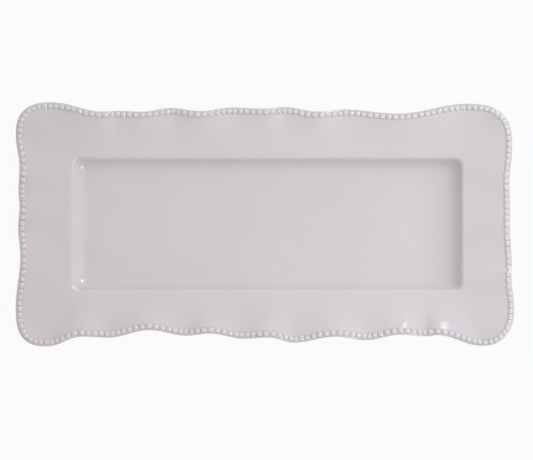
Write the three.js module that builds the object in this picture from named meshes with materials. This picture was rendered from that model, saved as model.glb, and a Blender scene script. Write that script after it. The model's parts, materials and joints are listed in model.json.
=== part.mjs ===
// A long rectangular serving platter in glazed white china, in millimetres, +Z up.
// The pressed body has a straight-sided well and a broad rim with a scalloped, hand-cut edge.
// A row of pearls is sprigged on along the edge, one strip to each scallop, and an unglazed
// foot ring is luted on underneath. The origin is at the middle of the footprint, on the table.
import * as THREE from "three";

// Driving dimensions, in millimetres and degrees.
const LENGTH = 500; // overall, over the corner lobes
const WIDTH = 245; // overall, over the corner lobes
const FOOT_HEIGHT = 5;
const JOINT_GAP = 0.3; // the slip joint between the body and what is stuck to it
const FLOOR_THICKNESS = 4.7;
const WELL_DEPTH = 14;
const WELL_LENGTH = 396; // at the lip
const WELL_WIDTH = 137.5; // at the lip
const WELL_SHIFT = 2.7; // the well sits a little towards +X, as it was pressed by hand
const LIP_CORNER_RADIUS = 8;
const FLOOR_CORNER_RADIUS = 2.5; // the well's corners tighten towards the floor
const LIP_RADIUS = 3.5; // the rounding where the rim turns down into the well
const WALL_ANGLE = 70; // the wall's steepest slope
const COVE_RADIUS = 12; // the hollow curve where the wall meets the floor
const RIM_RISE = 3; // from the lip to the edge, on average
const RIM_SHARES = [1 / 3, 2 / 3, 1]; // where the rim is drawn, from 0 at the lip to 1 at the pearls
const UNDER_SHARES = [2 / 3, 0.1]; // the same for its underside, from the edge inwards
const FLUTE_SHARE = 0.7; // a scallop droops by this share of how far it stands out
const FLUTE_LIMIT = 2.5; // and by no more than this
const FLUTE_POWER = 2.2; // how fast the flutes die out from the edge towards the lip
const CORNER_LIFT = 3; // the corner lobes curl up
const CURL_POWER = 5; // how fast that curl dies out towards the lip
const EDGE_THICKNESS = 3.2;
const EDGE_UNDERCUT = 2; // how far in the edge's underside begins
const RIM_THICKNESS = 4.6;
const EDGE_LEDGE = 1.5; // the plain rounded line of glaze outside the pearls
const PEARL_COUNT = 232;
const PEARL_WIDTH = 5;
const PEARL_HEIGHT = 1.6;
const PEARL_SLIP = 0.4; // the bead of slip that shows inside the pearls
const FLAT_OVERHANG = 6; // the underside is flat to this far outside the floor of the well
const FOOT_OVERHANG = 2; // and the foot ring's outside is this far outside it
const FOOT_WIDTH = 6;
const FOOT_BEVEL = 0.8;
const FOOT_CORNER_RADIUS = 14;

// Heights worked out from them.
const UNDERSIDE_Z = FOOT_HEIGHT + JOINT_GAP;
const FLOOR_Z = UNDERSIDE_Z + FLOOR_THICKNESS;
const LIP_Z = FLOOR_Z + WELL_DEPTH;
const EDGE_Z = LIP_Z + RIM_RISE;
const PEARL_BAND = EDGE_LEDGE + PEARL_WIDTH + PEARL_SLIP; // from the edge to the inside of the pearls

// The scalloped edge, walked anticlockwise as seen from above. Each side is a list of the
// crests and troughs of its scallops: how far along the side, and how far out from the middle.
// "out" is the side's outward direction and "along" is the direction it is walked in.
const SIDES = [
  {
    name: "east",
    out: [1, 0],
    along: [0, 1],
    turns: [[-84, 251], [-51.5, 248], [-40.5, 249], [-3, 246.5], [22.5, 247], [40.5, 246], [78, 249]],
    corner: "ne",
    squareness: 2.6,
  },
  {
    name: "north",
    out: [0, 1],
    along: [-1, 0],
    turns: [
      [-203.5, 121], [-133.5, 111], [-80.5, 115.5], [-53.5, 113], [-20, 118], [-0.5, 116], [32, 117.5],
      [64, 113.5], [93.5, 117], [123.5, 113], [148, 114], [162.5, 113], [213.5, 122.5],
    ],
    corner: "nw",
    squareness: 2.5,
  },
  {
    name: "west",
    out: [-1, 0],
    along: [0, -1],
    turns: [[-89, 250], [-58, 246], [-33, 247.5], [-18, 246], [3.5, 248], [32, 245], [82.5, 250]],
    corner: "sw",
    squareness: 2.7,
  },
  {
    name: "south",
    out: [0, -1],
    along: [1, 0],
    turns: [
      [-218, 122.5], [-183.5, 112.5], [-157, 114], [-115.5, 106], [-78.5, 112], [-55, 109.5], [-21.5, 115],
      [5, 113.5], [29.5, 119], [72, 112.5], [102, 116.5], [137, 110.5], [162.5, 112.5], [173, 111],
      [218.5, 122],
    ],
    corner: "se",
    squareness: 2.2,
  },
];
const STEPS_PER_TURN = 24; // points drawn between one turn of the edge and the next

const china = { color: 0xd9d3d4, roughness: 0.16, metalness: 0 };
const bisque = { color: 0xcfc4b8, roughness: 0.85, metalness: 0 };

function radians(degrees) {
  return (degrees * Math.PI) / 180;
}

// A smooth step from a to b that starts and ends level.
function ease(a, b, t) {
  return a + ((b - a) * (1 - Math.cos(Math.PI * t))) / 2;
}

// A point of one side, from its distance along and its distance out.
function sidePoint(side, along, out) {
  return new THREE.Vector2(
    side.along[0] * along + side.out[0] * out,
    side.along[1] * along + side.out[1] * out,
  );
}

// A trough is a turn that lies further in than both of its neighbours.
function isTrough(turns, i) {
  if (i === 0 || i === turns.length - 1) return false;
  return turns[i][1] < turns[i - 1][1] && turns[i][1] <= turns[i + 1][1];
}

// How far the rim lifts at one turn. It droops where the turn stands out from its neighbours.
function turnRelief(turns, i) {
  if (i === 0 || i === turns.length - 1) return 0;
  const standsOut = turns[i][1] - (turns[i - 1][1] + turns[i + 1][1]) / 2;
  return THREE.MathUtils.clamp(-FLUTE_SHARE * standsOut, -FLUTE_LIMIT, FLUTE_LIMIT);
}

// The edge of one side: cosine steps between its turns. A trough ends one strip of pearls.
function walkSide(side) {
  const points = [];
  side.turns.forEach(([along, out], i) => {
    const relief = turnRelief(side.turns, i);
    const trough = isTrough(side.turns, i) ? side.name : null;
    points.push({ at: sidePoint(side, along, out), z: EDGE_Z + relief, curl: 0, trough });
    if (i === side.turns.length - 1) return;
    const [nextAlong, nextOut] = side.turns[i + 1];
    const nextRelief = turnRelief(side.turns, i + 1);
    for (let step = 1; step < STEPS_PER_TURN; step += 1) {
      const t = step / STEPS_PER_TURN;
      points.push({
        at: sidePoint(side, along + (nextAlong - along) * t, ease(out, nextOut, t)),
        z: EDGE_Z + ease(relief, nextRelief, t),
        curl: 0,
        trough: null,
      });
    }
  });
  return points;
}

// The lobe at one corner: a quarter of a superellipse between the last crest of one side and
// the first crest of the next. Its middle curls up.
function walkCorner(from, to, side) {
  const centre = side.out[0] !== 0 ? new THREE.Vector2(to.x, from.y) : new THREE.Vector2(from.x, to.y);
  const points = [];
  const steps = 2 * STEPS_PER_TURN;
  for (let step = 1; step < steps; step += 1) {
    const angle = (Math.PI / 2) * (step / steps);
    const a = Math.cos(angle) ** (2 / side.squareness);
    const b = Math.sin(angle) ** (2 / side.squareness);
    const at = centre.clone();
    at.addScaledVector(from.clone().sub(centre), a);
    at.addScaledVector(to.clone().sub(centre), b);
    const curl = CORNER_LIFT * Math.sin(angle * 2);
    points.push({ at, z: EDGE_Z + curl, curl, trough: null });
  }
  return points;
}

// The whole edge as a closed line, centred and fitted to the overall length and width.
function drawEdge() {
  const walks = SIDES.map(walkSide);
  const points = [];
  SIDES.forEach((side, i) => {
    const walk = walks[i];
    const next = walks[(i + 1) % SIDES.length];
    points.push(...walk, ...walkCorner(walk[walk.length - 1].at, next[0].at, side));
  });
  const box = new THREE.Box2().setFromPoints(points.map((point) => point.at));
  const centre = box.getCenter(new THREE.Vector2());
  const fit = new THREE.Vector2(LENGTH, WIDTH).divide(box.getSize(new THREE.Vector2()));
  points.forEach((point) => point.at.sub(centre).multiply(fit));
  return points;
}

// Measures the edge, so that any distance along it gives a place, a height, the part of that
// height that is the corner's curl, and the direction in.
function measureEdge(points) {
  const starts = [0];
  points.forEach((point, i) => {
    const next = points[(i + 1) % points.length];
    starts.push(starts[i] + point.at.distanceTo(next.at));
  });
  const total = starts[points.length];
  function at(distance) {
    const wrapped = ((distance % total) + total) % total;
    let low = 0;
    let high = points.length;
    while (high - low > 1) {
      const middle = (low + high) >> 1;
      if (starts[middle] <= wrapped) low = middle;
      else high = middle;
    }
    const t = (wrapped - starts[low]) / (starts[low + 1] - starts[low]);
    const next = points[(low + 1) % points.length];
    return {
      xy: points[low].at.clone().lerp(next.at, t),
      z: THREE.MathUtils.lerp(points[low].z, next.z, t),
      curl: THREE.MathUtils.lerp(points[low].curl, next.curl, t),
    };
  }
  function station(distance) {
    const reach = 2; // the edge's direction is taken over this much to each side
    const here = at(distance);
    const along = at(distance + reach).xy.sub(at(distance - reach).xy).normalize();
    return { ...here, inward: new THREE.Vector2(-along.y, along.x) };
  }
  return { total, starts, station };
}

// The well's section from the rim inwards: a small round lip, a straight wall and a hollow cove.
// Each entry is how far in from the lip line, and how high.
function wellSection() {
  const steep = radians(WALL_ANGLE);
  const lipDrop = LIP_RADIUS * (1 - Math.cos(steep));
  const coveDrop = COVE_RADIUS * (1 - Math.cos(steep));
  const wallDrop = WELL_DEPTH - lipDrop - coveDrop;
  const lipSteps = 2;
  const coveSteps = 4;
  const section = [];
  for (let i = 0; i <= lipSteps; i += 1) {
    const angle = (steep * i) / lipSteps;
    section.push([LIP_RADIUS * Math.sin(angle), LIP_Z - LIP_RADIUS * (1 - Math.cos(angle))]);
  }
  const wallEnd = LIP_RADIUS * Math.sin(steep) + wallDrop / Math.tan(steep);
  const coveEnd = wallEnd + COVE_RADIUS * Math.sin(steep);
  for (let i = 0; i <= coveSteps; i += 1) {
    const angle = steep * (1 - i / coveSteps);
    section.push([coveEnd - COVE_RADIUS * Math.sin(angle), FLOOR_Z + COVE_RADIUS * (1 - Math.cos(angle))]);
  }
  return section;
}

// A column crosses the platter from the edge to the middle. It leaves the pearl band along the
// edge's normal, then heads for the nearest point of the well's rounded rectangle.
function makeColumn(station, section) {
  const bandEnd = station.xy.clone().addScaledVector(station.inward, PEARL_BAND);
  const core = new THREE.Vector2(WELL_LENGTH / 2 - LIP_CORNER_RADIUS, WELL_WIDTH / 2 - LIP_CORNER_RADIUS);
  const centred = bandEnd.clone().setX(bandEnd.x - WELL_SHIFT);
  const nearest = centred.clone().clamp(core.clone().negate(), core);
  const outward = centred.clone().sub(nearest).normalize();
  const share = nearest.clone().divide(core);
  const floorInset = section[section.length - 1][0];
  // A point of the ring that lies "inset" inside the well's lip.
  function ringPoint(inset) {
    const tightening = THREE.MathUtils.clamp(inset / floorInset, 0, 1);
    const corner = THREE.MathUtils.lerp(LIP_CORNER_RADIUS, FLOOR_CORNER_RADIUS, tightening);
    const x = share.x * (WELL_LENGTH / 2 - inset - corner) + outward.x * corner;
    const y = share.y * (WELL_WIDTH / 2 - inset - corner) + outward.y * corner;
    return new THREE.Vector2(x + WELL_SHIFT, y);
  }
  return { station, bandEnd, ringPoint };
}

// A point a little way in from the edge, at a given height.
function edgePoint(column, inset, z) {
  const xy = column.station.xy.clone().addScaledVector(column.station.inward, inset);
  return [xy.x, xy.y, z];
}

// A point of the rim, from 0 at the lip to 1 at the inside of the pearls, this much below the top.
function rimPoint(column, share, below) {
  const xy = column.ringPoint(0).lerp(column.bandEnd, share);
  const { z, curl } = column.station;
  const flute = (z - curl - EDGE_Z) * share ** FLUTE_POWER;
  return [xy.x, xy.y, LIP_Z + RIM_RISE * share + flute + curl * share ** CURL_POWER - below];
}

// The body's surface along one column, from the middle of the well, over the edge and back
// underneath to the middle.
function bodyColumn(column, section) {
  const { z } = column.station;
  const floorInset = section[section.length - 1][0];
  const flatInset = floorInset - FLAT_OVERHANG;
  const points = [];
  [...section].reverse().forEach(([inset, height]) => {
    const xy = column.ringPoint(inset);
    points.push([xy.x, xy.y, height]);
  });
  RIM_SHARES.forEach((share) => points.push(rimPoint(column, share, 0)));
  points.push(edgePoint(column, EDGE_LEDGE, z));
  points.push(edgePoint(column, 0, z - EDGE_LEDGE));
  points.push(edgePoint(column, 0, z - EDGE_THICKNESS + EDGE_LEDGE));
  points.push(edgePoint(column, EDGE_UNDERCUT, z - EDGE_THICKNESS));
  UNDER_SHARES.forEach((share) => points.push(rimPoint(column, share, RIM_THICKNESS)));
  const under = column.ringPoint(flatInset);
  points.push([under.x, under.y, UNDERSIDE_Z]);
  return points;
}

// Closes a set of like columns into one skin, with a fan at each pole.
function skinOfColumns(columns, topPole, bottomPole) {
  const rows = columns[0].length;
  const positions = [...columns.flat(2), ...topPole, ...bottomPole];
  const top = columns.length * rows;
  const bottom = top + 1;
  const faces = [];
  columns.forEach((_, i) => {
    const a = i * rows;
    const b = ((i + 1) % columns.length) * rows;
    faces.push(top, a, b);
    for (let row = 0; row + 1 < rows; row += 1) {
      faces.push(a + row, a + row + 1, b + row);
      faces.push(b + row, a + row + 1, b + row + 1);
    }
    faces.push(bottom, b + rows - 1, a + rows - 1);
  });
  return geometryOf(positions, faces);
}

function geometryOf(positions, faces) {
  const geometry = new THREE.BufferGeometry();
  geometry.setAttribute("position", new THREE.Float32BufferAttribute(positions, 3));
  geometry.setIndex(faces);
  geometry.computeVertexNormals();
  return geometry;
}

function platterBody(edge) {
  const section = wellSection();
  const pitch = edge.total / PEARL_COUNT;
  const columns = [];
  for (let i = 0; i < PEARL_COUNT; i += 1) {
    columns.push(bodyColumn(makeColumn(edge.station(i * pitch), section), section));
  }
  return skinOfColumns(columns, [WELL_SHIFT, 0, FLOOR_Z], [WELL_SHIFT, 0, UNDERSIDE_Z]);
}

// One cut across a strip of pearls: flat underneath and domed on top, anticlockwise as seen by
// someone walking along the edge. "fullness" is 1 through a pearl and less between two pearls.
function pearlSection(edge, distance, fullness) {
  const { xy, z, inward } = edge.station(distance);
  const middle = EDGE_LEDGE + PEARL_WIDTH / 2;
  const half = (PEARL_WIDTH / 2) * (0.5 + 0.5 * fullness);
  const height = PEARL_HEIGHT * fullness;
  const outline = [[-1, 0], [-1, 0.5], [-0.5, 1], [0.5, 1], [1, 0.5], [1, 0]];
  return outline.map(([side, up]) => {
    const at = xy.clone().addScaledVector(inward, middle + side * half);
    return [at.x, at.y, z + JOINT_GAP + up * height];
  });
}

// One strip of pearls, from one joint between pearls to another.
function pearlStrip(edge, firstJoint, lastJoint) {
  const pitch = edge.total / PEARL_COUNT;
  const waist = 0.45; // how full the strip is between two pearls
  const cuts = [];
  for (let joint = firstJoint; joint <= lastJoint; joint += 1) {
    let place = joint * pitch;
    if (joint === firstJoint) place += JOINT_GAP / 2;
    if (joint === lastJoint) place -= JOINT_GAP / 2;
    cuts.push(pearlSection(edge, place, waist));
    if (joint < lastJoint) cuts.push(pearlSection(edge, (joint + 0.5) * pitch, 1));
  }
  const sides = cuts[0].length;
  const faces = [];
  for (let cut = 0; cut + 1 < cuts.length; cut += 1) {
    for (let side = 0; side < sides; side += 1) {
      const a = cut * sides + side;
      const b = cut * sides + ((side + 1) % sides);
      faces.push(a, a + sides, b);
      faces.push(b, a + sides, b + sides);
    }
  }
  const last = (cuts.length - 1) * sides;
  for (let side = 1; side + 1 < sides; side += 1) {
    faces.push(0, side, side + 1);
    faces.push(last, last + side + 1, last + side);
  }
  return geometryOf(cuts.flat(2), faces);
}

// The strips run from trough to trough. A strip is named by the side that it lies on, or by the
// corner that it goes round.
function pearlStrips(edge, points) {
  const pitch = edge.total / PEARL_COUNT;
  const troughs = [];
  points.forEach((point, i) => {
    if (point.trough) troughs.push({ side: point.trough, joint: Math.round(edge.starts[i] / pitch) });
  });
  const counts = {};
  return troughs.map((trough, i) => {
    const next = troughs[(i + 1) % troughs.length];
    const lastJoint = next.joint > trough.joint ? next.joint : next.joint + PEARL_COUNT;
    const side = SIDES.find((each) => each.name === trough.side);
    counts[side.name] = (counts[side.name] ?? 0) + 1;
    const name = next.side === trough.side ? `${side.name}_${counts[side.name]}` : `corner_${side.corner}`;
    return { name: `pearls_${name}`, geometry: pearlStrip(edge, trough.joint, lastJoint) };
  });
}

function roundedRectangle(path, length, width, radius) {
  const [x, y] = [length / 2, width / 2];
  path.moveTo(x, -y + radius);
  path.absarc(x - radius, y - radius, radius, 0, Math.PI / 2);
  path.absarc(-x + radius, y - radius, radius, Math.PI / 2, Math.PI);
  path.absarc(-x + radius, -y + radius, radius, Math.PI, 1.5 * Math.PI);
  path.absarc(x - radius, -y + radius, radius, 1.5 * Math.PI, 2 * Math.PI);
  return path;
}

// The foot ring stands under the foot of the well's wall. Its ground face is flat.
function footRing() {
  const floorInset = wellSection().at(-1)[0];
  const length = WELL_LENGTH - 2 * (floorInset - FOOT_OVERHANG);
  const width = WELL_WIDTH - 2 * (floorInset - FOOT_OVERHANG);
  const both = 2 * FOOT_BEVEL;
  const shape = roundedRectangle(new THREE.Shape(), length - both, width - both, FOOT_CORNER_RADIUS);
  const hole = roundedRectangle(
    new THREE.Path(),
    length - 2 * FOOT_WIDTH + both,
    width - 2 * FOOT_WIDTH + both,
    FOOT_CORNER_RADIUS - FOOT_WIDTH + both,
  );
  shape.holes.push(hole);
  const geometry = new THREE.ExtrudeGeometry(shape, {
    depth: FOOT_HEIGHT - both,
    bevelEnabled: true,
    bevelThickness: FOOT_BEVEL,
    bevelSize: FOOT_BEVEL,
    bevelSegments: 1,
    curveSegments: 6,
  });
  return geometry.translate(WELL_SHIFT, 0, FOOT_BEVEL);
}

function addMesh(group, name, geometry, finish) {
  const mesh = new THREE.Mesh(geometry, new THREE.MeshStandardMaterial(finish));
  mesh.name = name;
  group.add(mesh);
}

const points = drawEdge();
const edge = measureEdge(points);
const platter = new THREE.Group();
addMesh(platter, "platter_body", platterBody(edge), china);
addMesh(platter, "foot_ring", footRing(), bisque);
pearlStrips(edge, points).forEach(({ name, geometry }) => addMesh(platter, name, geometry, china));

export default platter;
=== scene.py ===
# %% [markdown]
# # A scalloped china platter
# This lesson models a long serving platter in glazed white china. A potter presses a slab of
# clay over a mould to get the well and the broad rim, cuts the edge into scallops by hand,
# sticks strips of moulded pearls along it, adds a foot ring underneath, and glazes the lot.
# The CAD frame comes first here, because it says where each piece is and how big it may be. Then
# come the scalloped edge, which all the rest follows, and the glaze, and only then the body, the
# foot and the pearls.

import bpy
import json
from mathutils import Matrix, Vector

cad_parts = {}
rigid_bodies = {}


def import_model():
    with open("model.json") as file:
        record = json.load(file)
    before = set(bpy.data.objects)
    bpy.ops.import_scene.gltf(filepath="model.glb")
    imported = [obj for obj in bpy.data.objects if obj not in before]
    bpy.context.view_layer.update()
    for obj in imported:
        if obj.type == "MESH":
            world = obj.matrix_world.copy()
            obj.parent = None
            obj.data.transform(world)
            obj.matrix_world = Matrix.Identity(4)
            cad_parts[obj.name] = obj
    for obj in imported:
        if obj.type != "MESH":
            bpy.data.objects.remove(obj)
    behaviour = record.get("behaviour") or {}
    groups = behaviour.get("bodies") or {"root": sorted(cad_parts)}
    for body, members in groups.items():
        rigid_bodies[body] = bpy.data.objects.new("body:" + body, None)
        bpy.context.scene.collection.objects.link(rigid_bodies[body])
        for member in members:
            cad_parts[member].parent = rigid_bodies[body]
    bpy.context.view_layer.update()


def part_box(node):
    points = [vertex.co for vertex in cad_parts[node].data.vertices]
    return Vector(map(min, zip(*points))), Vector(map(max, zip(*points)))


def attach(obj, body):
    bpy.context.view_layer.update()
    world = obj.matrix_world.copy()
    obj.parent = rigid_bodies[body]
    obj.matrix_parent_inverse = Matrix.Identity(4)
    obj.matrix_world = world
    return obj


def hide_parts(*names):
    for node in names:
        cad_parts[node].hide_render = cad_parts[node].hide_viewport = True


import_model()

# %% [markdown]
# ## The tools
# Each piece starts as one of Blender's primitives. It is added, shaped in edit mode and closed
# again, and two small helpers do the opening and the closing. An operator acts on all that is
# selected, and the CAD pieces still are, so they are deselected first. Blender works in metres,
# and MM turns millimetres into them. The random numbers start from a fixed seed, so that the
# platter comes out the same each time.

# %% The tools of the lesson
import json
import math
import random

import bmesh
import bpy
import numpy as np
from mathutils import Matrix, Vector

MM = 0.001
SEED = 7

random.seed(SEED)
for cad_object in bpy.context.selected_objects:
    cad_object.select_set(False)
print("selected pieces:", len(bpy.context.selected_objects))


def start_piece(name):
    """The primitive that was just added becomes a named piece, open for editing."""
    piece = bpy.context.object
    piece.name = name
    piece.data.name = name
    bpy.ops.object.mode_set(mode="EDIT")
    return piece


def end_piece(piece, smooth_angle=60):
    """Leaves edit mode, with the place in the mesh and faces that are smooth but for hard edges."""
    bpy.ops.object.mode_set(mode="OBJECT")
    bpy.ops.object.transform_apply(location=True, rotation=True, scale=True)
    bpy.ops.object.shade_smooth_by_angle(angle=math.radians(smooth_angle))
    piece.select_set(False)
    print(piece.name, "has", len(piece.data.polygons), "faces")


# %% [markdown]
# ## The sizes
# The outline and the levels come from the frame. The other sizes are the design's own, the
# same as those of the CAD model, so that each piece lands on the solid that it stands for.

# %% Sizes
body_low, body_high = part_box("platter_body")
foot_low, foot_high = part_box("foot_ring")
LENGTH = body_high[0] - body_low[0]
WIDTH = body_high[1] - body_low[1]
UNDERSIDE_Z = body_low[2]
WELL_SHIFT = (foot_low[0] + foot_high[0]) / 2

FLOOR_THICKNESS = 4.7 * MM
FLOOR_Z = UNDERSIDE_Z + FLOOR_THICKNESS
WELL_DEPTH = 14 * MM
LIP_Z = FLOOR_Z + WELL_DEPTH
WELL_HALF = np.array([198, 68.75]) * MM
LIP_CORNER = 8 * MM
FLOOR_CORNER = 2.5 * MM
LIP_RADIUS = 3.5 * MM
COVE_RADIUS = 12 * MM
WALL_ANGLE = math.radians(70)
RIM_RISE = 3 * MM
FLUTE_SHARE = 0.7
FLUTE_LIMIT = 2.5 * MM
CORNER_LIFT = 3 * MM
RIM_THICKNESS = 4.6 * MM
EDGE_THICKNESS = 3.2 * MM
EDGE_LEDGE = 1.5 * MM
PEARL_COUNT = 232
PEARL_WIDTH = 5 * MM
PEARL_BAND = EDGE_LEDGE + PEARL_WIDTH
EDGE_Z = LIP_Z + RIM_RISE
print("length and width in mm:", round(LENGTH / MM, 1), round(WIDTH / MM, 1))

# %% [markdown]
# ## The scalloped edge
# The edge was cut by hand, so no two scallops are alike. Each side is a short list of turns,
# the crests and troughs of its scallops, walked anticlockwise: how far along the side, and how
# far out from the middle. Between two turns the edge follows half a cosine wave, which starts
# and ends level. The corner lobes are quarters of a superellipse, a shape between a circle
# and a square. The edge could be a curve drawn by hand, but a formula can be sampled as finely
# as a piece needs, and it fits the frame's outline exactly.

# %% Turns of the edge
SIDES = [
    {
        "name": "east", "out": (1, 0), "along": (0, 1), "corner": "ne", "squareness": 2.6,
        "turns": [(-84, 251), (-51.5, 248), (-40.5, 249), (-3, 246.5), (22.5, 247), (40.5, 246),
                  (78, 249)],
    },
    {
        "name": "north", "out": (0, 1), "along": (-1, 0), "corner": "nw", "squareness": 2.5,
        "turns": [(-203.5, 121), (-133.5, 111), (-80.5, 115.5), (-53.5, 113), (-20, 118),
                  (-0.5, 116), (32, 117.5), (64, 113.5), (93.5, 117), (123.5, 113), (148, 114),
                  (162.5, 113), (213.5, 122.5)],
    },
    {
        "name": "west", "out": (-1, 0), "along": (0, -1), "corner": "sw", "squareness": 2.7,
        "turns": [(-89, 250), (-58, 246), (-33, 247.5), (-18, 246), (3.5, 248), (32, 245),
                  (82.5, 250)],
    },
    {
        "name": "south", "out": (0, -1), "along": (1, 0), "corner": "se", "squareness": 2.2,
        "turns": [(-218, 122.5), (-183.5, 112.5), (-157, 114), (-115.5, 106), (-78.5, 112),
                  (-55, 109.5), (-21.5, 115), (5, 113.5), (29.5, 119), (72, 112.5),
                  (102, 116.5), (137, 110.5), (162.5, 112.5), (173, 111), (218.5, 122)],
    },
]
STEPS_PER_TURN = 24


def ease(a, b, t):
    """A smooth step from a to b that starts and ends level."""
    return a + (b - a) * (1 - math.cos(math.pi * t)) / 2


def is_trough(turns, i):
    """Whether a turn lies further in than its neighbours. The two ends of a side never do."""
    if i in (0, len(turns) - 1):
        return False
    before, here, after = turns[i - 1][1], turns[i][1], turns[i + 1][1]
    return here < before and here <= after


print("turns of the edge:", sum(len(side["turns"]) for side in SIDES))

# %% [markdown]
# Where a scallop stands out the wet rim droops, and between two scallops it lifts, which is what
# makes the rim flute. The further a turn stands out from its two neighbours, the more it droops,
# up to a limit. The corner lobes curl up instead. So each point of the edge has a height as well,
# and the share of it that comes from the corner's curl.

# %% Walking the edge
def side_point(side, along, out):
    return [side["along"][axis] * along + side["out"][axis] * out for axis in (0, 1)]


def turn_relief(turns, i):
    """How far the rim lifts at one turn. It is negative where the rim droops."""
    if i in (0, len(turns) - 1):
        return 0
    stands_out = turns[i][1] - (turns[i - 1][1] + turns[i + 1][1]) / 2
    return min(max(-FLUTE_SHARE * stands_out * MM, -FLUTE_LIMIT), FLUTE_LIMIT)


def walk_side(side):
    """Points (x, y, height, curl) along one side, and the indices of its troughs."""
    points, troughs = [], []
    turns = side["turns"]
    for i, (along, out) in enumerate(turns):
        relief = turn_relief(turns, i)
        if is_trough(turns, i):
            troughs.append(len(points))
        points.append([*side_point(side, along, out), relief, 0])
        if i == len(turns) - 1:
            break
        next_along, next_out = turns[i + 1]
        next_relief = turn_relief(turns, i + 1)
        for step in range(1, STEPS_PER_TURN):
            t = step / STEPS_PER_TURN
            place = side_point(side, along + (next_along - along) * t, ease(out, next_out, t))
            points.append([*place, ease(relief, next_relief, t), 0])
    return points, troughs


# %% [markdown]
# A corner lobe runs from the last crest of one side to the first crest of the next, and curls up
# most in its middle. The whole line is then fitted to the outline of the frame's body.

# %% Corner lobes and the whole edge
def walk_corner(start, end, side):
    """The lobe between the last crest of one side and the first crest of the next."""
    centre = (end[0], start[1]) if side["out"][0] else (start[0], end[1])
    points = []
    steps = 2 * STEPS_PER_TURN
    for step in range(1, steps):
        angle = math.pi / 2 * step / steps
        a = math.cos(angle) ** (2 / side["squareness"])
        b = math.sin(angle) ** (2 / side["squareness"])
        place = [centre[k] + (start[k] - centre[k]) * a + (end[k] - centre[k]) * b for k in (0, 1)]
        curl = CORNER_LIFT * math.sin(2 * angle)
        points.append([*place, curl, curl])
    return points


def draw_edge():
    """The closed edge fitted to the frame's outline, its troughs, and its corners' middles."""
    points, troughs, middles = [], [], []
    walks = [walk_side(side) for side in SIDES]
    for i, side in enumerate(SIDES):
        walk, side_troughs = walks[i]
        troughs += [(side, len(points) + index) for index in side_troughs]
        points += walk
        lobe = walk_corner(walk[-1], walks[(i + 1) % len(SIDES)][0][0], side)
        middles.append(len(points) + len(lobe) // 2)
        points += lobe
    line = np.array(points)
    low, high = line[:, :2].min(axis=0), line[:, :2].max(axis=0)
    line[:, :2] = (line[:, :2] - (low + high) / 2) * np.array([LENGTH, WIDTH]) / (high - low)
    line[:, 2] += EDGE_Z
    return line, troughs, middles


edge_line, edge_troughs, edge_middles = draw_edge()
edge_steps = np.linalg.norm(np.diff(edge_line[:, :2], axis=0, append=edge_line[:1, :2]), axis=1)
edge_starts = np.concatenate([[0], np.cumsum(edge_steps)])
EDGE_TOTAL = edge_starts[-1]
PEARL_PITCH = EDGE_TOTAL / PEARL_COUNT
print("edge in mm:", round(EDGE_TOTAL / MM, 1), "pearl pitch in mm:", round(PEARL_PITCH / MM, 2))

# %% [markdown]
# The rings and the pearls ask for a place by its distance along the edge, so one more function
# reads the line at any distance. The direction inwards is square to the line between two places,
# a little before and a little after.

# %% Reading the edge
TANGENT_REACH = 2 * MM


def edge_at(distance):
    """Place, height, curl and inward direction at these distances along the edge."""
    distance = np.atleast_1d(distance)

    def place(d):
        return np.stack([np.interp(d, edge_starts[:-1], edge_line[:, k], period=EDGE_TOTAL)
                         for k in range(4)], axis=-1)

    here = place(distance)
    along = (place(distance + TANGENT_REACH) - place(distance - TANGENT_REACH))[:, :2]
    along /= np.linalg.norm(along, axis=1)[:, None]
    inward = np.stack([-along[:, 1], along[:, 0]], axis=1)
    return here[:, :2], here[:, 2], here[:, 3], inward


print("the edge starts going inwards along", edge_at(0)[3][0].round(2))

# %% [markdown]
# ## The camera
# The platter is looked at from straight above through a long lens, as for a catalogue. The
# camera is set before the pieces.

# %% Camera
VIEW_WIDTH = 534.1 * MM
LENS = 85
SENSOR = 36
VIEW_CENTRE = (1.5 * MM, -5.7 * MM)
VIEW_END = 20

camera_data = bpy.data.cameras.new("camera")
camera_data.lens = LENS
camera_data.sensor_width = SENSOR
camera_data.clip_end = VIEW_END
camera = bpy.data.objects.new("camera", camera_data)
camera.location = (*VIEW_CENTRE, EDGE_Z + VIEW_WIDTH * LENS / SENSOR)
bpy.context.scene.collection.objects.link(camera)
bpy.context.scene.camera = camera
print("camera height in metres:", round(camera.location.z, 3))

# %% [markdown]
# ## The glaze
# White china isn't one flat white. The glaze is a layer of glass over warm clay, and where it is
# thin the clay shows through. In the crevices, the cove and round the edge the colour is darker
# and greyer: painted shade. Firing leaves faint clouds of tone, a few iron specks, and a surface
# that is never quite level. One plain colour with a low roughness would be quicker, but it looks
# like plastic.
# Several pieces share all this, so it is a node group, built once and placed in each material
# with its own values.

# %% Building with nodes
def add_node(tree, kind, **settings):
    node = tree.nodes.new(kind)
    for key, value in settings.items():
        setattr(node, key, value)
    return node


def feed(tree, socket, value):
    """Gives an input another node's output, or a plain value."""
    if isinstance(value, bpy.types.NodeSocket):
        tree.links.new(value, socket)
    else:
        socket.default_value = value


def math_node(tree, operation, a, b, clamp=False):
    """A Math node. Each of a and b is a socket or a number."""
    node = add_node(tree, "ShaderNodeMath", operation=operation, use_clamp=clamp)
    feed(tree, node.inputs[0], a)
    feed(tree, node.inputs[1], b)
    return node.outputs[0]


def mix_colour(tree, factor, a, b):
    """A Mix node for colours. Each of factor, a and b is a socket or a value."""
    node = add_node(tree, "ShaderNodeMix", data_type="RGBA")
    for number, value in ((0, factor), (6, a), (7, b)):
        feed(tree, node.inputs[number], value)
    return node.outputs[2]


def noise(tree, vector, scale, detail):
    node = add_node(tree, "ShaderNodeTexNoise")
    node.inputs["Scale"].default_value = scale
    node.inputs["Detail"].default_value = detail
    tree.links.new(vector, node.inputs["Vector"])
    return node.outputs["Fac"]


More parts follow.
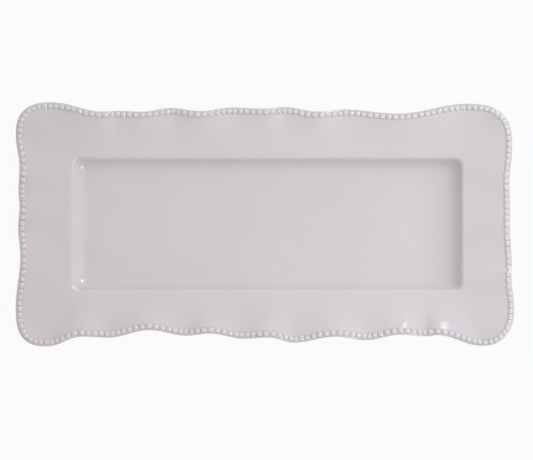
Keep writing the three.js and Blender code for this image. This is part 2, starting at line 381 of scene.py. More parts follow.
def ramp(tree, factor, low, high):
    """0 below low, 1 above high, smooth between."""
    node = add_node(tree, "ShaderNodeMapRange", interpolation_type="SMOOTHSTEP")
    node.inputs["From Min"].default_value = low
    node.inputs["From Max"].default_value = high
    tree.links.new(factor, node.inputs["Value"])
    return node.outputs["Result"]


# %% [markdown]
# The tone of the clay drifts in clouds a hand's breadth across, with finer ones inside them.
# Towards the two ends the colour is a little darker and greyer: painted shade, for the light
# falling off there.

# %% Clouds of tone
CLOUD_SCALE = 11
FINE_SCALE = 60
CLOUD_DETAIL = 3
CLOUD_SHARE = 0.7
FINE_SHARE = 0.3
NOISE_MIDDLE = 0.5
END_SHADE_REACH = (150 * MM, 215 * MM)
END_SHADE = 0.045


def glaze_tone(group, place, fine, amount):
    """A brightness near 1 that drifts in clouds and falls a little towards the two ends, as painted
    shade.
    """
    wide = noise(group, place, CLOUD_SCALE, CLOUD_DETAIL)
    clouds = math_node(group, "ADD", math_node(group, "MULTIPLY", wide, CLOUD_SHARE),
                       math_node(group, "MULTIPLY", fine, FINE_SHARE))
    drift = math_node(group, "SUBTRACT", clouds, NOISE_MIDDLE)
    shade = math_node(group, "MULTIPLY", drift, amount)
    split = add_node(group, "ShaderNodeSeparateXYZ")
    group.links.new(place, split.inputs[0])
    from_middle = math_node(group, "ABSOLUTE", split.outputs["X"], 0.0)
    end_shade = math_node(group, "MULTIPLY", ramp(group, from_middle, *END_SHADE_REACH), -END_SHADE)
    return math_node(group, "ADD", math_node(group, "ADD", shade, end_shade), 1.0)


# %% [markdown]
# Iron specks come from cells: the object is divided into small cells, a few of them are chosen,
# and each chosen cell holds one dark dot in its middle. Moving the pattern moves the dots.

# %% Iron specks
SPECK_SCALE = 55
SPECK_SHIFT = (39.1 * MM, -4.7 * MM, 0)
SPECK_EDGE = (0.012, 0.03)
SPECK_RARITY = 0.97
SPECK_COLOUR = (0.16, 0.13, 0.11, 1)


def glaze_specks(group, place, amount):
    """A mask that is 1 inside a speck."""
    moved = add_node(group, "ShaderNodeVectorMath", operation="ADD")
    moved.inputs[1].default_value = SPECK_SHIFT
    group.links.new(place, moved.inputs[0])
    cells = add_node(group, "ShaderNodeTexVoronoi")
    cells.inputs["Scale"].default_value = SPECK_SCALE
    group.links.new(moved.outputs["Vector"], cells.inputs["Vector"])
    dot = math_node(group, "SUBTRACT", 1.0, ramp(group, cells.outputs["Distance"], *SPECK_EDGE))
    pick = add_node(group, "ShaderNodeSeparateColor")
    group.links.new(cells.outputs["Color"], pick.inputs["Color"])
    chosen = math_node(group, "GREATER_THAN", pick.outputs[0], SPECK_RARITY)
    return math_node(group, "MULTIPLY", math_node(group, "MULTIPLY", dot, chosen), amount)


# %% [markdown]
# The group takes the colour of the clay, a colour of painted shade, and a number from 0 to 1 that
# says how much of that painted shade lies here. It gives back a colour, a roughness and a height.
# The height has slow waves from the hand-pressed clay, and the glaze's own fine ripple.

# %% The glaze group
GLAZE_INPUTS = (
    ("Clay", "NodeSocketColor", (0.62, 0.6, 0.6, 1)),
    ("Shade Colour", "NodeSocketColor", (0.4, 0.4, 0.39, 1)),
    ("Painted Shade", "NodeSocketFloat", 0.0),
    ("Clouds", "NodeSocketFloat", 0.02),
    ("Specks", "NodeSocketFloat", 1.0),
    ("Gloss", "NodeSocketFloat", 0.1),
)
GLAZE_OUTPUTS = (
    ("Colour", "NodeSocketColor"),
    ("Roughness", "NodeSocketFloat"),
    ("Height", "NodeSocketFloat"),
)
DULLNESS = 0.08
WAVE_SCALE = 26
RIPPLE_SCALE = 170
RIPPLE_SHARE = 0.08


def make_glaze_group():
    group = bpy.data.node_groups.new("china_glaze", "ShaderNodeTree")
    for name, kind, value in GLAZE_INPUTS:
        socket = group.interface.new_socket(name=name, in_out="INPUT", socket_type=kind)
        socket.default_value = value
    for name, kind in GLAZE_OUTPUTS:
        group.interface.new_socket(name=name, in_out="OUTPUT", socket_type=kind)
    given = add_node(group, "NodeGroupInput").outputs
    results = add_node(group, "NodeGroupOutput").inputs
    place = add_node(group, "ShaderNodeTexCoord").outputs["Object"]
    fine = noise(group, place, FINE_SCALE, CLOUD_DETAIL)

    brightness = add_node(group, "ShaderNodeHueSaturation")
    tone = glaze_tone(group, place, fine, given["Clouds"])
    group.links.new(tone, brightness.inputs["Value"])
    group.links.new(given["Clay"], brightness.inputs["Color"])
    # The colour of painted shade is mixed in, as much as the mesh asks for.
    with_painted_shade = mix_colour(group, given["Painted Shade"], brightness.outputs["Color"], given["Shade Colour"])
    specks = glaze_specks(group, place, given["Specks"])
    group.links.new(mix_colour(group, specks, with_painted_shade, SPECK_COLOUR), results["Colour"])

    # The gloss is a little duller where the fine clouds gather.
    drift = math_node(group, "SUBTRACT", fine, NOISE_MIDDLE)
    dull = math_node(group, "MULTIPLY", drift, DULLNESS)
    group.links.new(math_node(group, "ADD", given["Gloss"], dull, clamp=True), results["Roughness"])

    waves = noise(group, place, WAVE_SCALE, detail=1)
    ripple = noise(group, place, RIPPLE_SCALE, detail=2)
    height = math_node(group, "ADD", waves, math_node(group, "MULTIPLY", ripple, RIPPLE_SHARE))
    group.links.new(height, results["Height"])
    return group


glaze_group = make_glaze_group()
print("glaze group nodes:", len(glaze_group.nodes))

# %% [markdown]
# A material made with the group has one Principled shader. Its index of refraction is that of
# a lead-free glaze, and the group drives its colour, roughness and bump.

# %% China materials
GLAZE_INDEX = 1.5


def make_china(name, clay, shade_colour, gloss, clouds, specks, bump, shade_attribute=None):
    material = bpy.data.materials.new(name)
    material.use_nodes = True
    tree = material.node_tree
    shader = tree.nodes["Principled BSDF"]
    shader.inputs["IOR"].default_value = GLAZE_INDEX
    glaze = add_node(tree, "ShaderNodeGroup", node_tree=glaze_group)
    glaze.inputs["Clay"].default_value = (*clay, 1)
    glaze.inputs["Shade Colour"].default_value = (*shade_colour, 1)
    glaze.inputs["Gloss"].default_value = gloss
    glaze.inputs["Clouds"].default_value = clouds
    glaze.inputs["Specks"].default_value = specks
    # An attribute of the mesh says how much painted shade each place gets.
    if shade_attribute:
        painted_shade = add_node(tree, "ShaderNodeAttribute", attribute_name=shade_attribute)
        tree.links.new(painted_shade.outputs["Fac"], glaze.inputs["Painted Shade"])
    relief = add_node(tree, "ShaderNodeBump")
    relief.inputs["Strength"].default_value = 1.0
    relief.inputs["Distance"].default_value = bump
    tree.links.new(glaze.outputs["Height"], relief.inputs["Height"])
    tree.links.new(glaze.outputs["Colour"], shader.inputs["Base Color"])
    tree.links.new(glaze.outputs["Roughness"], shader.inputs["Roughness"])
    tree.links.new(relief.outputs["Normal"], shader.inputs["Normal"])
    material.diffuse_color = (*clay, 1)
    print("material", name)
    return material


china = make_china(
    "glazed_china", clay=(0.76, 0.724, 0.722), shade_colour=(0.64, 0.63, 0.61), gloss=0.1,
    clouds=0.1, specks=1.0, bump=0.25 * MM, shade_attribute="painted_shade",
)
# The pearls' clay is a little lighter than the body's: painted light, standing in for their glints.
pearl_china = make_china(
    "pearl_china", clay=(0.79, 0.765, 0.765), shade_colour=(0.65, 0.635, 0.62), gloss=0.16,
    clouds=0.05, specks=0.0, bump=0.1 * MM, shade_attribute="painted_shade",
)
bisque = make_china(
    "bisque_foot", clay=(0.62, 0.55, 0.47), shade_colour=(0.5, 0.45, 0.4), gloss=0.85,
    clouds=0.25, specks=1.0, bump=0.3 * MM,
)

# %% [markdown]
# ## The body
# A potter starts the platter from a flat slab and works outwards, and so do the next cells. They
# lay a grid for the floor of the well, then extrude its border ring by ring: up the cove and
# the wall, over the lip, out along the rim, round the edge and back underneath. A second grid
# closes the underside. A slab with the well cut out by a boolean would have the same size, but
# rings of four-sided faces follow every bend and take the gloss without a ripple.
#
# First comes the wall in section: the arc of the cove, a straight slope and the arc of the lip.

# %% The wall in section
LIP_DROP = LIP_RADIUS * (1 - math.cos(WALL_ANGLE))
COVE_DROP = COVE_RADIUS * (1 - math.cos(WALL_ANGLE))
WALL_DROP = WELL_DEPTH - LIP_DROP - COVE_DROP
LIP_END = LIP_RADIUS * math.sin(WALL_ANGLE)
WALL_END = LIP_END + WALL_DROP / math.tan(WALL_ANGLE)
WALL_PLAN = WALL_END + COVE_RADIUS * math.sin(WALL_ANGLE)
print("lip, wall and cove together in plan, in mm:", round(WALL_PLAN / MM, 1))

# %% [markdown]
# A column is the line of vertices that runs from the floor out to the edge and back underneath.
# Columns meet the edge at even steps. They meet the well at the nearest point of its rounded
# rectangle: column_share says how far along the straight sides, and column_outward which way a
# corner's arc faces. Each vertex of the border will carry its column's number in an integer
# layer, which every extrusion copies, so a new ring only has to look up where its columns go.

# %% Columns
GRID_X = 155
GRID_Y = 77
QUARTERS = (GRID_Y, GRID_X, GRID_Y, GRID_X)
COLUMNS = sum(QUARTERS)


def column_distances():
    """How far along the edge each column meets it. A quarter runs from corner to corner."""
    end_shade = [edge_starts[index] for index in edge_middles]
    starts = [end_shade[-1] - EDGE_TOTAL, *end_shade[:-1]]
    return np.concatenate([np.linspace(start, end, count, endpoint=False)
                           for start, end, count in zip(starts, end_shade, QUARTERS)])


column_edge, column_z, column_curl, column_inward = edge_at(column_distances())
band_end = column_edge + column_inward * PEARL_BAND
core = WELL_HALF - LIP_CORNER
centred = band_end - np.array([WELL_SHIFT, 0])
nearest = np.clip(centred, -core, core)
column_outward = centred - nearest
column_outward /= np.linalg.norm(column_outward, axis=1)[:, None]
column_share = nearest / core
print("columns:", COLUMNS)


def well_ring(inset, z):
    """The ring that lies this far inside the lip. Its corners tighten towards the floor."""
    tightening = min(max(inset / WALL_PLAN, 0), 1)
    corner = LIP_CORNER + (FLOOR_CORNER - LIP_CORNER) * tightening
    xy = column_share * (WELL_HALF - inset - corner) + column_outward * corner
    xy = xy + np.array([WELL_SHIFT, 0])
    return np.column_stack([xy, np.full(COLUMNS, z)])


def edge_ring(inset, drop):
    """The ring that lies this far inside the edge, and this far below its top."""
    return np.column_stack([column_edge + column_inward * inset, column_z - drop])


# %% [markdown]
# The rings of the well climb the cove in an arc, the wall in a straight slope and the lip in a
# smaller arc. Each ring brings a number from 0 to 1 with it, which says how much painted shade its
# colour gets, most in the middle of the cove. The material reads it from the mesh.

# %% The well's rings
COVE_STEPS = 12
WALL_STEPS = 2
LIP_STEPS = 6
COVE_SHADE = 0.1


def well_rings():
    """Up the cove and the wall, and over the lip. Each ring comes with its amount of painted shade.
    """
    rings = []
    for i in range(COVE_STEPS + 1):
        angle = WALL_ANGLE * i / COVE_STEPS
        inset = WALL_PLAN - COVE_RADIUS * math.sin(angle)
        painted_shade = COVE_SHADE * math.sin(math.pi * i / COVE_STEPS)
        rings.append((well_ring(inset, FLOOR_Z + COVE_RADIUS * (1 - math.cos(angle))), painted_shade))
    for i in range(1, WALL_STEPS):
        t = i / WALL_STEPS
        inset = WALL_END + (LIP_END - WALL_END) * t
        rings.append((well_ring(inset, FLOOR_Z + COVE_DROP + WALL_DROP * t), 0))
    for i in range(LIP_STEPS + 1):
        angle = WALL_ANGLE * (1 - i / LIP_STEPS)
        height = LIP_Z - LIP_RADIUS * (1 - math.cos(angle))
        rings.append((well_ring(LIP_RADIUS * math.sin(angle), height), 0))
    return rings


print("rings in the well:", len(well_rings()))

# %% [markdown]
# The rim is almost flat beside the lip. The flutes grow towards the edge, so the ring's height
# blends from the lip's level to the edge's relief with a power curve. The corners curl up late,
# close to the pearls, so their curve has a higher power.

# %% The rim's rings
RIM_STEPS = 22
LAST_SHARES = [0.98, 1]
FLUTE_POWER = 2.2
CURL_POWER = 5
# The crevice along the inside of the pearls is darkened in the colour: painted shade.
SEAT_SHADE = 0.6


def rim_ring(share, below):
    """share is 0 at the lip and 1 at the inside of the pearls."""
    start = well_ring(0, 0)[:, :2]
    xy = start + (band_end - start) * share
    level = LIP_Z + RIM_RISE * share
    flute = (column_z - column_curl - EDGE_Z) * share**FLUTE_POWER
    curl = column_curl * share**CURL_POWER
    return np.column_stack([xy, level + flute + curl - below])


def rim_rings():
    """Out along the rim. The last ring lies against the pearls, where painted shade darkens the
    crevice.
    """
    shares = [i / RIM_STEPS for i in range(1, RIM_STEPS)] + LAST_SHARES
    return [(rim_ring(share, 0), SEAT_SHADE if share == 1 else 0) for share in shares]


print("rings on the rim:", len(rim_rings()))

# %% [markdown]
# The pearls sit on a shallow seat, and outside them a plain line of glaze rounds the edge. Below,
# the rim is thinner at its edge than at the lip. The underside bends down outside the lip and
# runs level to the flat that the foot ring is stuck to.

# %% Rings of the edge and the underside
SEAT_WIDTH = 0.6 * MM
SEAT_DROP = 0.1 * MM
# The seat and the top of the rounded edge are darkened in the colour: painted shade.
LEDGE_SHADE = 0.5
ROUND_STEPS = 12
UNDER_SHARES = (0.97, 0.85, 0.7, 0.55, 0.4, 0.25, 0.1)
BEND_START = -4 * MM
BEND_STEPS = 7
FLAT_OVERHANG = 6 * MM


def edge_rings():
    """Under the pearls, over the plain line of glaze and round the edge."""
    rings = [(edge_ring(PEARL_BAND - SEAT_WIDTH, SEAT_DROP), SEAT_SHADE),
             (edge_ring((PEARL_BAND + EDGE_LEDGE) / 2, 0), SEAT_SHADE)]
    half = EDGE_THICKNESS / 2
    for i in range(ROUND_STEPS + 1):
        angle = math.pi * i / ROUND_STEPS
        ring = edge_ring(EDGE_LEDGE * (1 - math.sin(angle)), half - half * math.cos(angle))
        rings.append((ring, LEDGE_SHADE * (1 - i / ROUND_STEPS)))
    return rings


def under_rings():
    """Back along the underside to the flat. There is no painted shade here."""
    rings = []
    for share in UNDER_SHARES:
        thickness = EDGE_THICKNESS + (RIM_THICKNESS - EDGE_THICKNESS) * (1 - share)**0.5
        rings.append((rim_ring(share, thickness), 0))
    flat_inset = WALL_PLAN - FLAT_OVERHANG
    for i in range(1, BEND_STEPS + 1):
        t = i / BEND_STEPS
        inset = BEND_START + (flat_inset - BEND_START) * t
        rings.append((well_ring(inset, ease(LIP_Z - RIM_THICKNESS, UNDERSIDE_Z, t)), 0))
    return rings


body_rings = well_rings() + rim_rings() + edge_rings() + under_rings()
print("rings of the body:", len(body_rings))

# %% [markdown]
# A grid's inner points are worked out from its border by a Coons patch: each point is blended
# from the four sides. It works for any border, as long as opposite sides have equal counts.

# %% A grid inside a ring
def patch(ring):
    """A (GRID_X + 1) by (GRID_Y + 1) array of points inside a ring of columns."""
    turn = np.cumsum((0, *QUARTERS))
    closed = np.vstack([ring, ring[:1]])
    east = closed[turn[0]:turn[1] + 1]
    north = closed[turn[1]:turn[2] + 1][::-1]
    west = closed[turn[2]:turn[3] + 1][::-1]
    south = closed[turn[3]:turn[4] + 1]
    u = np.linspace(0, 1, GRID_X + 1)[:, None, None]
    v = np.linspace(0, 1, GRID_Y + 1)[None, :, None]
    sides = (1 - v) * south[:, None] + v * north[:, None] + (1 - u) * west[None] + u * east[None]
    corners = ((1 - u) * (1 - v) * south[0] + u * (1 - v) * south[-1]
               + (1 - u) * v * north[0] + u * v * north[-1])
    return sides - corners


def lay_grid(bm, column_layer, places):
    """Moves the selected unit grid onto the places, and numbers its border's columns."""
    for vert in bm.verts:
        if not vert.select:
            continue
        i = round((vert.co.x + 0.5) * GRID_X)
        j = round((vert.co.y + 0.5) * GRID_Y)
        if i == GRID_X:
            vert[column_layer] = j
        elif j == GRID_Y:
            vert[column_layer] = GRID_Y + GRID_X - i
        elif i == 0:
            vert[column_layer] = 2 * GRID_Y + GRID_X - j
        elif j == 0:
            vert[column_layer] = 2 * GRID_Y + GRID_X + i
        vert.co = places[i, j]


print("floor patch:", patch(body_rings[0][0]).shape)

# %% [markdown]
# The floor was pressed by hand, so it isn't dead flat. A few slow waves of a few hundredths
# of a millimetre are enough to make the reflections swim a little.

# %% Waves of the floor
WAVE_HEIGHT = 0.04 * MM
WAVE_SPAN = (19, 16)
SWAY_SPAN = (31, 23)
SWAY = 0.6
WAVE_FADE = 8


def floor_waves(places):
    """The floor's places with slow waves, which fade over a few grid steps at the border."""
    x, y = places[..., 0] / MM, places[..., 1] / MM
    along = np.sin(x / WAVE_SPAN[0] + np.sin(y / SWAY_SPAN[1]))
    across = np.cos(y / WAVE_SPAN[1] + SWAY * np.sin(x / SWAY_SPAN[0]))
    i = np.arange(GRID_X + 1)[:, None]
    j = np.arange(GRID_Y + 1)[None]
    from_border = np.minimum(np.minimum(i, GRID_X - i), np.minimum(j, GRID_Y - j))
    places = places.copy()
    places[..., 2] += WAVE_HEIGHT * along * across * np.clip(from_border / WAVE_FADE, 0, 1)
    return places


floor_places = floor_waves(patch(body_rings[0][0]))
print("floor waves in mm:", round(np.ptp(floor_places[..., 2]) / MM, 3))

# %% [markdown]
# Now the body itself: the floor's grid, then one extrusion for each ring, and then the grid that
# closes the underside. Its border meets the last ring, so the doubled vertices are merged.

# %% Modelling the body
MERGE_REACH = 0.001 * MM


def add_unit_grid():
    bpy.ops.mesh.primitive_grid_add(x_subdivisions=GRID_X, y_subdivisions=GRID_Y, size=1)


def extrude_ring(body, ring, painted_shade):
    """Extrudes the open border, and moves each new vertex to its column's place."""
    bpy.ops.mesh.extrude_region_move()
    bm = bmesh.from_edit_mesh(body.data)
    column_layer = bm.verts.layers.int["column"]
    shade_layer = bm.verts.layers.float["painted_shade"]
    for vert in bm.verts:
        if vert.select:
            vert.co = ring[vert[column_layer]]
            vert[shade_layer] = painted_shade
    bmesh.update_edit_mesh(body.data)


def make_body():
    add_unit_grid()
    body = start_piece("china_body")
    bm = bmesh.from_edit_mesh(body.data)
    bm.verts.layers.float.new("painted_shade")
    column_layer = bm.verts.layers.int.new("column")
    lay_grid(bm, column_layer, floor_places)
    bmesh.update_edit_mesh(body.data)
    bpy.ops.mesh.select_all(action="SELECT")
    bpy.ops.mesh.region_to_loop()
    for ring, painted_shade in body_rings[1:]:
        extrude_ring(body, ring, painted_shade)
    bpy.ops.mesh.select_all(action="DESELECT")
    add_unit_grid()
    bm = bmesh.from_edit_mesh(body.data)
    lay_grid(bm, bm.verts.layers.int["column"], patch(body_rings[-1][0]))
    bmesh.update_edit_mesh(body.data)
    bpy.ops.mesh.select_all(action="SELECT")
    bpy.ops.mesh.remove_doubles(threshold=MERGE_REACH)
    bpy.ops.mesh.normals_make_consistent(inside=False)
    end_piece(body)
    return body


body = make_body()
body.data.materials.append(china)
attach(body, "root")
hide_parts("platter_body")

# %% [markdown]
# ## The foot ring
# The foot is a coil of clay rolled out, bent round and luted on under the wall of the well. Its
# ground face is rubbed flat and left bare, or the platter would stick to the kiln shelf. A thick
# curve could make it too, but a plane with rounded corners, inset and extruded, keeps the
# ground face dead flat and its edges clean.

# %% Modelling the foot ring
FOOT_WIDTH = 6 * MM
FOOT_CORNER = 14 * MM
FOOT_CORNER_STEPS = 14
FOOT_SINK = 0.2 * MM
FOOT_ROUNDING = 1.2 * MM
FOOT_ROUNDING_STEPS = 4
GROUND_REACH = 1 * MM
BARE_REACH = 0.9 * MM
SHARP = math.radians(60)


def select_ground_edges(foot):
    """Selects the sharp edges of the face that the platter stands on."""
    bm = bmesh.from_edit_mesh(foot.data)
    for edge in bm.edges:
        steep = len(edge.link_faces) == 2 and edge.calc_face_angle() > SHARP
        edge.select_set(steep and max(vert.co.z for vert in edge.verts) < GROUND_REACH)
    bmesh.update_edit_mesh(foot.data)


def make_foot():
    size = [foot_high[k] - foot_low[k] for k in (0, 1)]
    rise = (0, 0, UNDERSIDE_Z + FOOT_SINK)
    bpy.ops.mesh.primitive_plane_add(size=1, location=(WELL_SHIFT, 0, 0))
    foot = start_piece("foot_coil")
    bpy.ops.transform.resize(value=(size[0], size[1], 1), center_override=(WELL_SHIFT, 0, 0))
    bpy.ops.mesh.select_all(action="SELECT")
    bpy.ops.mesh.bevel(offset=FOOT_CORNER, segments=FOOT_CORNER_STEPS, affect="VERTICES")
    bpy.ops.mesh.inset(thickness=FOOT_WIDTH)
    bpy.ops.mesh.delete(type="FACE")
    bpy.ops.mesh.select_all(action="SELECT")
    bpy.ops.mesh.extrude_region_move(TRANSFORM_OT_translate={"value": rise})
    bpy.ops.mesh.select_all(action="SELECT")
    bpy.ops.mesh.normals_make_consistent(inside=False)
    select_ground_edges(foot)
    bpy.ops.mesh.bevel(offset=FOOT_ROUNDING, segments=FOOT_ROUNDING_STEPS, profile=0.5)
    end_piece(foot)
    return foot


foot = make_foot()
foot.data.materials.append(china)
foot.data.materials.append(bisque)
for face in foot.data.polygons:
    face.material_index = 1 if face.center.z < BARE_REACH else 0
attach(foot, "root")
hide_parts("foot_ring")

# %% [markdown]
# ## The pearls
# On the real platter a strip of pearls is pressed in a plaster mould and stuck on with slip. Their
# bases and the gaps between them are darkened in the colour: painted shade. One pearl is modelled
# with care: a cube rounded towards a ball, cut off below, with a little skirt of glaze that meets
# its neighbours. Then it is copied for every place along the edge. An array along a curve would
# make all the pearls alike, so each copy gets its own mesh, a slightly different size and a slight
# turn, as moulded work has.

# %% One pearl
PEARL_LENGTH = 5.7 * MM
PEARL_DEPTH = 4.9 * MM
PEARL_RISE = 1.5 * MM
PEARL_CUTS = 3
PEARL_ROUNDNESS = 0.8
PEARL_SMOOTHING = 80
SKIRT_CUT = 0.55 * MM
SKIRT_STEPS = ((1.05, 0.2 * MM), (1.07, 0.15 * MM), (1.08, 0.1 * MM), (1.0, 0.4 * MM))
GAP_SHADE = 0.8
GAP_SHADE_REACH = 1.3 * MM


def half_size(piece):
    """Half of the size of the mesh being edited, along each axis."""
    bm = bmesh.from_edit_mesh(piece.data)
    return [max(vert.co[k] for vert in bm.verts) for k in range(3)]


def make_pearl():
    bpy.ops.mesh.primitive_cube_add(size=1)
    pearl = start_piece("pearl")
    bpy.ops.mesh.subdivide(number_cuts=PEARL_CUTS)
    bpy.ops.transform.tosphere(value=PEARL_ROUNDNESS)
    wanted = (PEARL_LENGTH / 2, PEARL_DEPTH / 2, PEARL_RISE)
    scale = [want / half for want, half in zip(wanted, half_size(pearl))]
    bpy.ops.transform.resize(value=scale, center_override=(0, 0, 0))
    bpy.ops.mesh.bisect(plane_co=(0, 0, SKIRT_CUT), plane_no=(0, 0, 1), clear_inner=True)
    for spread, drop in SKIRT_STEPS:
        bpy.ops.mesh.extrude_region_move(TRANSFORM_OT_translate={"value": (0, 0, -drop)})
        bpy.ops.transform.resize(value=(spread, spread, 1), center_override=(0, 0, 0))
    bpy.ops.mesh.edge_face_add()
    bpy.ops.mesh.select_all(action="SELECT")
    bpy.ops.mesh.normals_make_consistent(inside=False)
    end_piece(pearl, PEARL_SMOOTHING)
    # Each vertex gets painted shade, more the lower it lies on the pearl.
    painted_shade = pearl.data.attributes.new("painted_shade", "FLOAT", "POINT")
    for vert in pearl.data.vertices:
        thickness = GAP_SHADE - vert.co.z / GAP_SHADE_REACH
        painted_shade.data[vert.index].value = min(max(thickness, 0), 1)
    return pearl


pearl = make_pearl()
low = [min(vert.co[k] for vert in pearl.data.vertices) / MM for k in range(3)]
high = [max(vert.co[k] for vert in pearl.data.vertices) / MM for k in range(3)]
print("pearl from", [round(v, 2) for v in low], "to", [round(v, 2) for v in high])

# %% [markdown]
# A strip runs from one trough of the edge to the next, and takes the whole number of pearls
# between them. Where it turns a corner it is named after the corner.

# %% Strips of pearls
PEARL_LINE = EDGE_LEDGE + PEARL_WIDTH / 2
PLACE_SPREAD = 0.12 * MM
TURN_SPREAD = math.radians(5)
SIZE_SPREAD = ((0.96, 1.03), (0.97, 1.02), (0.94, 1.05))


def pearl_matrix(number):
    """Where one pearl goes, with the small differences of moulded work."""
    xy, z, _, inward = (values[0] for values in edge_at((number + 0.5) * PEARL_PITCH))
    place = xy + inward * (PEARL_LINE + random.uniform(-PLACE_SPREAD, PLACE_SPREAD))
    turn = math.atan2(inward[1], inward[0]) - math.pi / 2
    turn += random.uniform(-TURN_SPREAD, TURN_SPREAD)
    size = [random.uniform(smallest, largest) for smallest, largest in SIZE_SPREAD]
    placed = Matrix.Translation((*place, z))
    return placed @ Matrix.Rotation(turn, 4, "Z") @ Matrix.Diagonal((*size, 1))


def make_strip(name, first, last):
    copies = []
    for number in range(first, last):
        mesh = pearl.data.copy()
        mesh.transform(pearl_matrix(number))
        copy = bpy.data.objects.new(name, mesh)
        bpy.context.scene.collection.objects.link(copy)
        copies.append(copy)
        copy.select_set(True)
    bpy.context.view_layer.objects.active = copies[0]
    bpy.ops.object.join()
    strip = copies[0]
    strip.select_set(False)
    return strip


strip_counts = {}
for i, (side, index) in enumerate(edge_troughs):
    next_side, next_index = edge_troughs[(i + 1) % len(edge_troughs)]
    first = round(edge_starts[index] / PEARL_PITCH)
    last = round(edge_starts[next_index] / PEARL_PITCH)
    last += PEARL_COUNT if last < first else 0
    strip_counts[side["name"]] = strip_counts.get(side["name"], 0) + 1
    place = f"{side['name']}_{strip_counts[side['name']]}"
    if next_side is not side:
        place = f"corner_{side['corner']}"
    strip = make_strip(f"pearl_strip_{place}", first, last)
    strip.data.materials.append(pearl_china)
    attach(strip, "root")
    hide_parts(f"pearls_{place}")
    print(strip.name, "has", last - first, "pearls")
bpy.data.objects.remove(pearl)

# %% [markdown]
# ## The table and the light
# The platter lies on a pale table in a bright tent, as in a studio. To the eye the table is
# almost white, with only a faint shadow round the platter. To the platter it is a duller grey, as
# a table in its own tent's shade is, so the rounded edge of the china gets a thin darker line.
# Seen from underneath the table is clear, so the foot can be looked at as well.

# %% Table
TABLE_SIZE = 80
TABLE_DROP = 0.2 * MM
TABLE_GREY = 0.9
TABLE_GLOW = 0.97
TABLE_SHADOW = 0.03
TABLE_BOUNCE = 0.72


def grey(level):
    return (level, level, level, 1)


def mix_shader(tree, factor, a, b):
    """A Mix Shader node. The factor is a socket or a number, and a and b are shader outputs."""
    node = add_node(tree, "ShaderNodeMixShader")
    for number, value in enumerate((factor, a, b)):
        feed(tree, node.inputs[number], value)
    return node.outputs[0]


def emission(tree, level):
    node = add_node(tree, "ShaderNodeEmission")
    node.inputs["Color"].default_value = grey(level)
    return node.outputs[0]


def make_table_finish():
    material = bpy.data.materials.new("table")
    material.use_nodes = True
    tree = material.node_tree
    tree.nodes.clear()
    diffuse = add_node(tree, "ShaderNodeBsdfDiffuse")
    diffuse.inputs["Color"].default_value = grey(TABLE_GREY)
    clear = add_node(tree, "ShaderNodeBsdfTransparent")
    look = add_node(tree, "ShaderNodeLightPath")
    facing = add_node(tree, "ShaderNodeNewGeometry")
    seen = mix_shader(tree, TABLE_SHADOW, emission(tree, TABLE_GLOW), diffuse.outputs[0])
    opaque = mix_shader(tree, look.outputs["Is Camera Ray"], emission(tree, TABLE_BOUNCE), seen)
    whole = mix_shader(tree, facing.outputs["Backfacing"], opaque, clear.outputs[0])
    output = add_node(tree, "ShaderNodeOutputMaterial")
    tree.links.new(whole, output.inputs["Surface"])
    return material


bpy.ops.mesh.primitive_plane_add(size=TABLE_SIZE, location=(0, 0, -TABLE_DROP))
table = bpy.context.object
table.name = "table"
table.data.materials.append(make_table_finish())
print("table", TABLE_SIZE, "m across,", len(table.data.materials[0].node_tree.nodes), "nodes")

# %% [markdown]
# Two soft boxes stand to the right of the platter, one behind and one in front, and a low panel
# fills in between them. They are near, so the light falls off towards the left, and they are
# cooler than the tent. These three shade the china, but the glaze doesn't show them. What the
# glaze shows are three cards further off: they draw the small bright crescents in the corners
# of the well and the glints on the flutes, and add nothing to the shading. Kept apart like this,
# the shading and the glints can each be set alone. The view transform is the standard one, so
# white stays white.

# %% Soft boxes and cards
BOX_COLOUR = (0.8, 0.85, 1.07)
BOX_DISTANCE = 1.05
CARD_DISTANCE = 3
BOX = {"width": 0.3, "height": 0.42, "distance": BOX_DISTANCE}
PANEL = {"width": 0.7, "height": 0.6, "distance": BOX_DISTANCE}
CARD = {"width": 1.4, "height": 0.8, "distance": CARD_DISTANCE}
SMALL_CARD = {"width": 0.3, "height": 0.3, "distance": CARD_DISTANCE}

bpy.context.scene.view_settings.view_transform = "Standard"


def soft_box(name, azimuth, zenith, brightness, width, height, distance):
    """A lamp that faces the platter. Azimuth is anticlockwise from +X, zenith is down from +Z."""
    lamp = bpy.data.lights.new(name, "AREA")
    lamp.shape = "RECTANGLE"
    lamp.size, lamp.size_y = width, height
    lamp.energy = brightness * math.pi * width * height
    lamp.color = BOX_COLOUR
    box = bpy.data.objects.new(name, lamp)
    around, down = math.radians(azimuth), math.radians(zenith)
    box.location = Vector((math.sin(down) * math.cos(around), math.sin(down) * math.sin(around),
                           math.cos(down))) * distance
    box.rotation_euler = box.location.to_track_quat("Z", "Y").to_euler()
    bpy.context.scene.collection.objects.link(box)
    return box


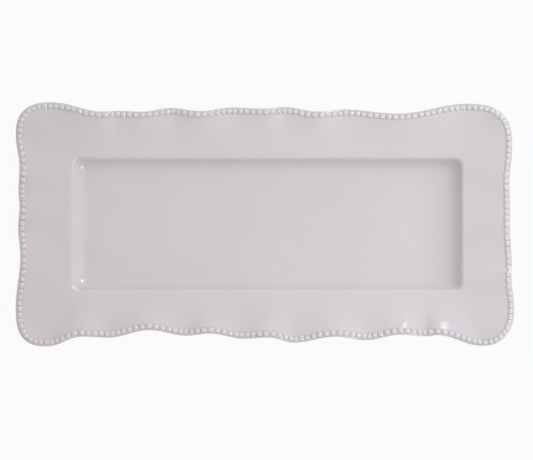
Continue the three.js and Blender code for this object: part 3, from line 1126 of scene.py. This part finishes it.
shading_boxes = [
    soft_box("box_behind", 45, 38, brightness=4.3, **BOX),
    soft_box("box_in_front", -42, 38, brightness=2.3, **BOX),
    soft_box("side_panel", 4, 60, brightness=1.3, **PANEL),
]
glint_cards = [
    soft_box("card_behind", 42, 46, brightness=16, **CARD),
    soft_box("card_in_front", -42, 46, brightness=16, **CARD),
    soft_box("card_above", 44, 26, brightness=8, **SMALL_CARD),
]
for box in shading_boxes:
    box.visible_glossy = False
for card in glint_cards:
    card.visible_diffuse = False
print("soft boxes:", len(shading_boxes), "cards:", len(glint_cards))

# %% [markdown]
# The tent is a world whose brightness leans: brighter to the right and a little brighter behind,
# and darker overhead than near the table. Its colour leans too. It is warmer in front, where the
# room is. The eye sees it plain white.

# %% Tent
TENT_BEHIND = (0.98, 0.99, 0.965, 1)
TENT_IN_FRONT = (1.0, 0.905, 0.845, 1)
TENT_LEVEL = 0.805
TENT_LEAN = (0.08, 0.09, -0.22)


def make_tent():
    world = bpy.data.worlds.new("tent")
    bpy.context.scene.world = world
    world.use_nodes = True
    tree = world.node_tree
    direction = add_node(tree, "ShaderNodeTexCoord").outputs["Generated"]
    lean = add_node(tree, "ShaderNodeVectorMath", operation="DOT_PRODUCT")
    lean.inputs[1].default_value = TENT_LEAN
    tree.links.new(direction, lean.inputs[0])
    strength = math_node(tree, "ADD", lean.outputs["Value"], TENT_LEVEL)
    split = add_node(tree, "ShaderNodeSeparateXYZ")
    tree.links.new(direction, split.inputs[0])
    behind = ramp(tree, split.outputs["Y"], -1, 1)
    glow = tree.nodes["Background"]
    tree.links.new(mix_colour(tree, behind, TENT_IN_FRONT, TENT_BEHIND), glow.inputs["Color"])
    tree.links.new(strength, glow.inputs["Strength"])
    seen = add_node(tree, "ShaderNodeBackground")
    seen.inputs["Color"].default_value = grey(TABLE_GLOW)
    look = add_node(tree, "ShaderNodeLightPath")
    whole = mix_shader(tree, look.outputs["Is Camera Ray"], glow.outputs[0], seen.outputs[0])
    tree.links.new(whole, tree.nodes["World Output"].inputs["Surface"])
    return world


tent = make_tent()
print("tent has", len(tent.node_tree.nodes), "nodes")
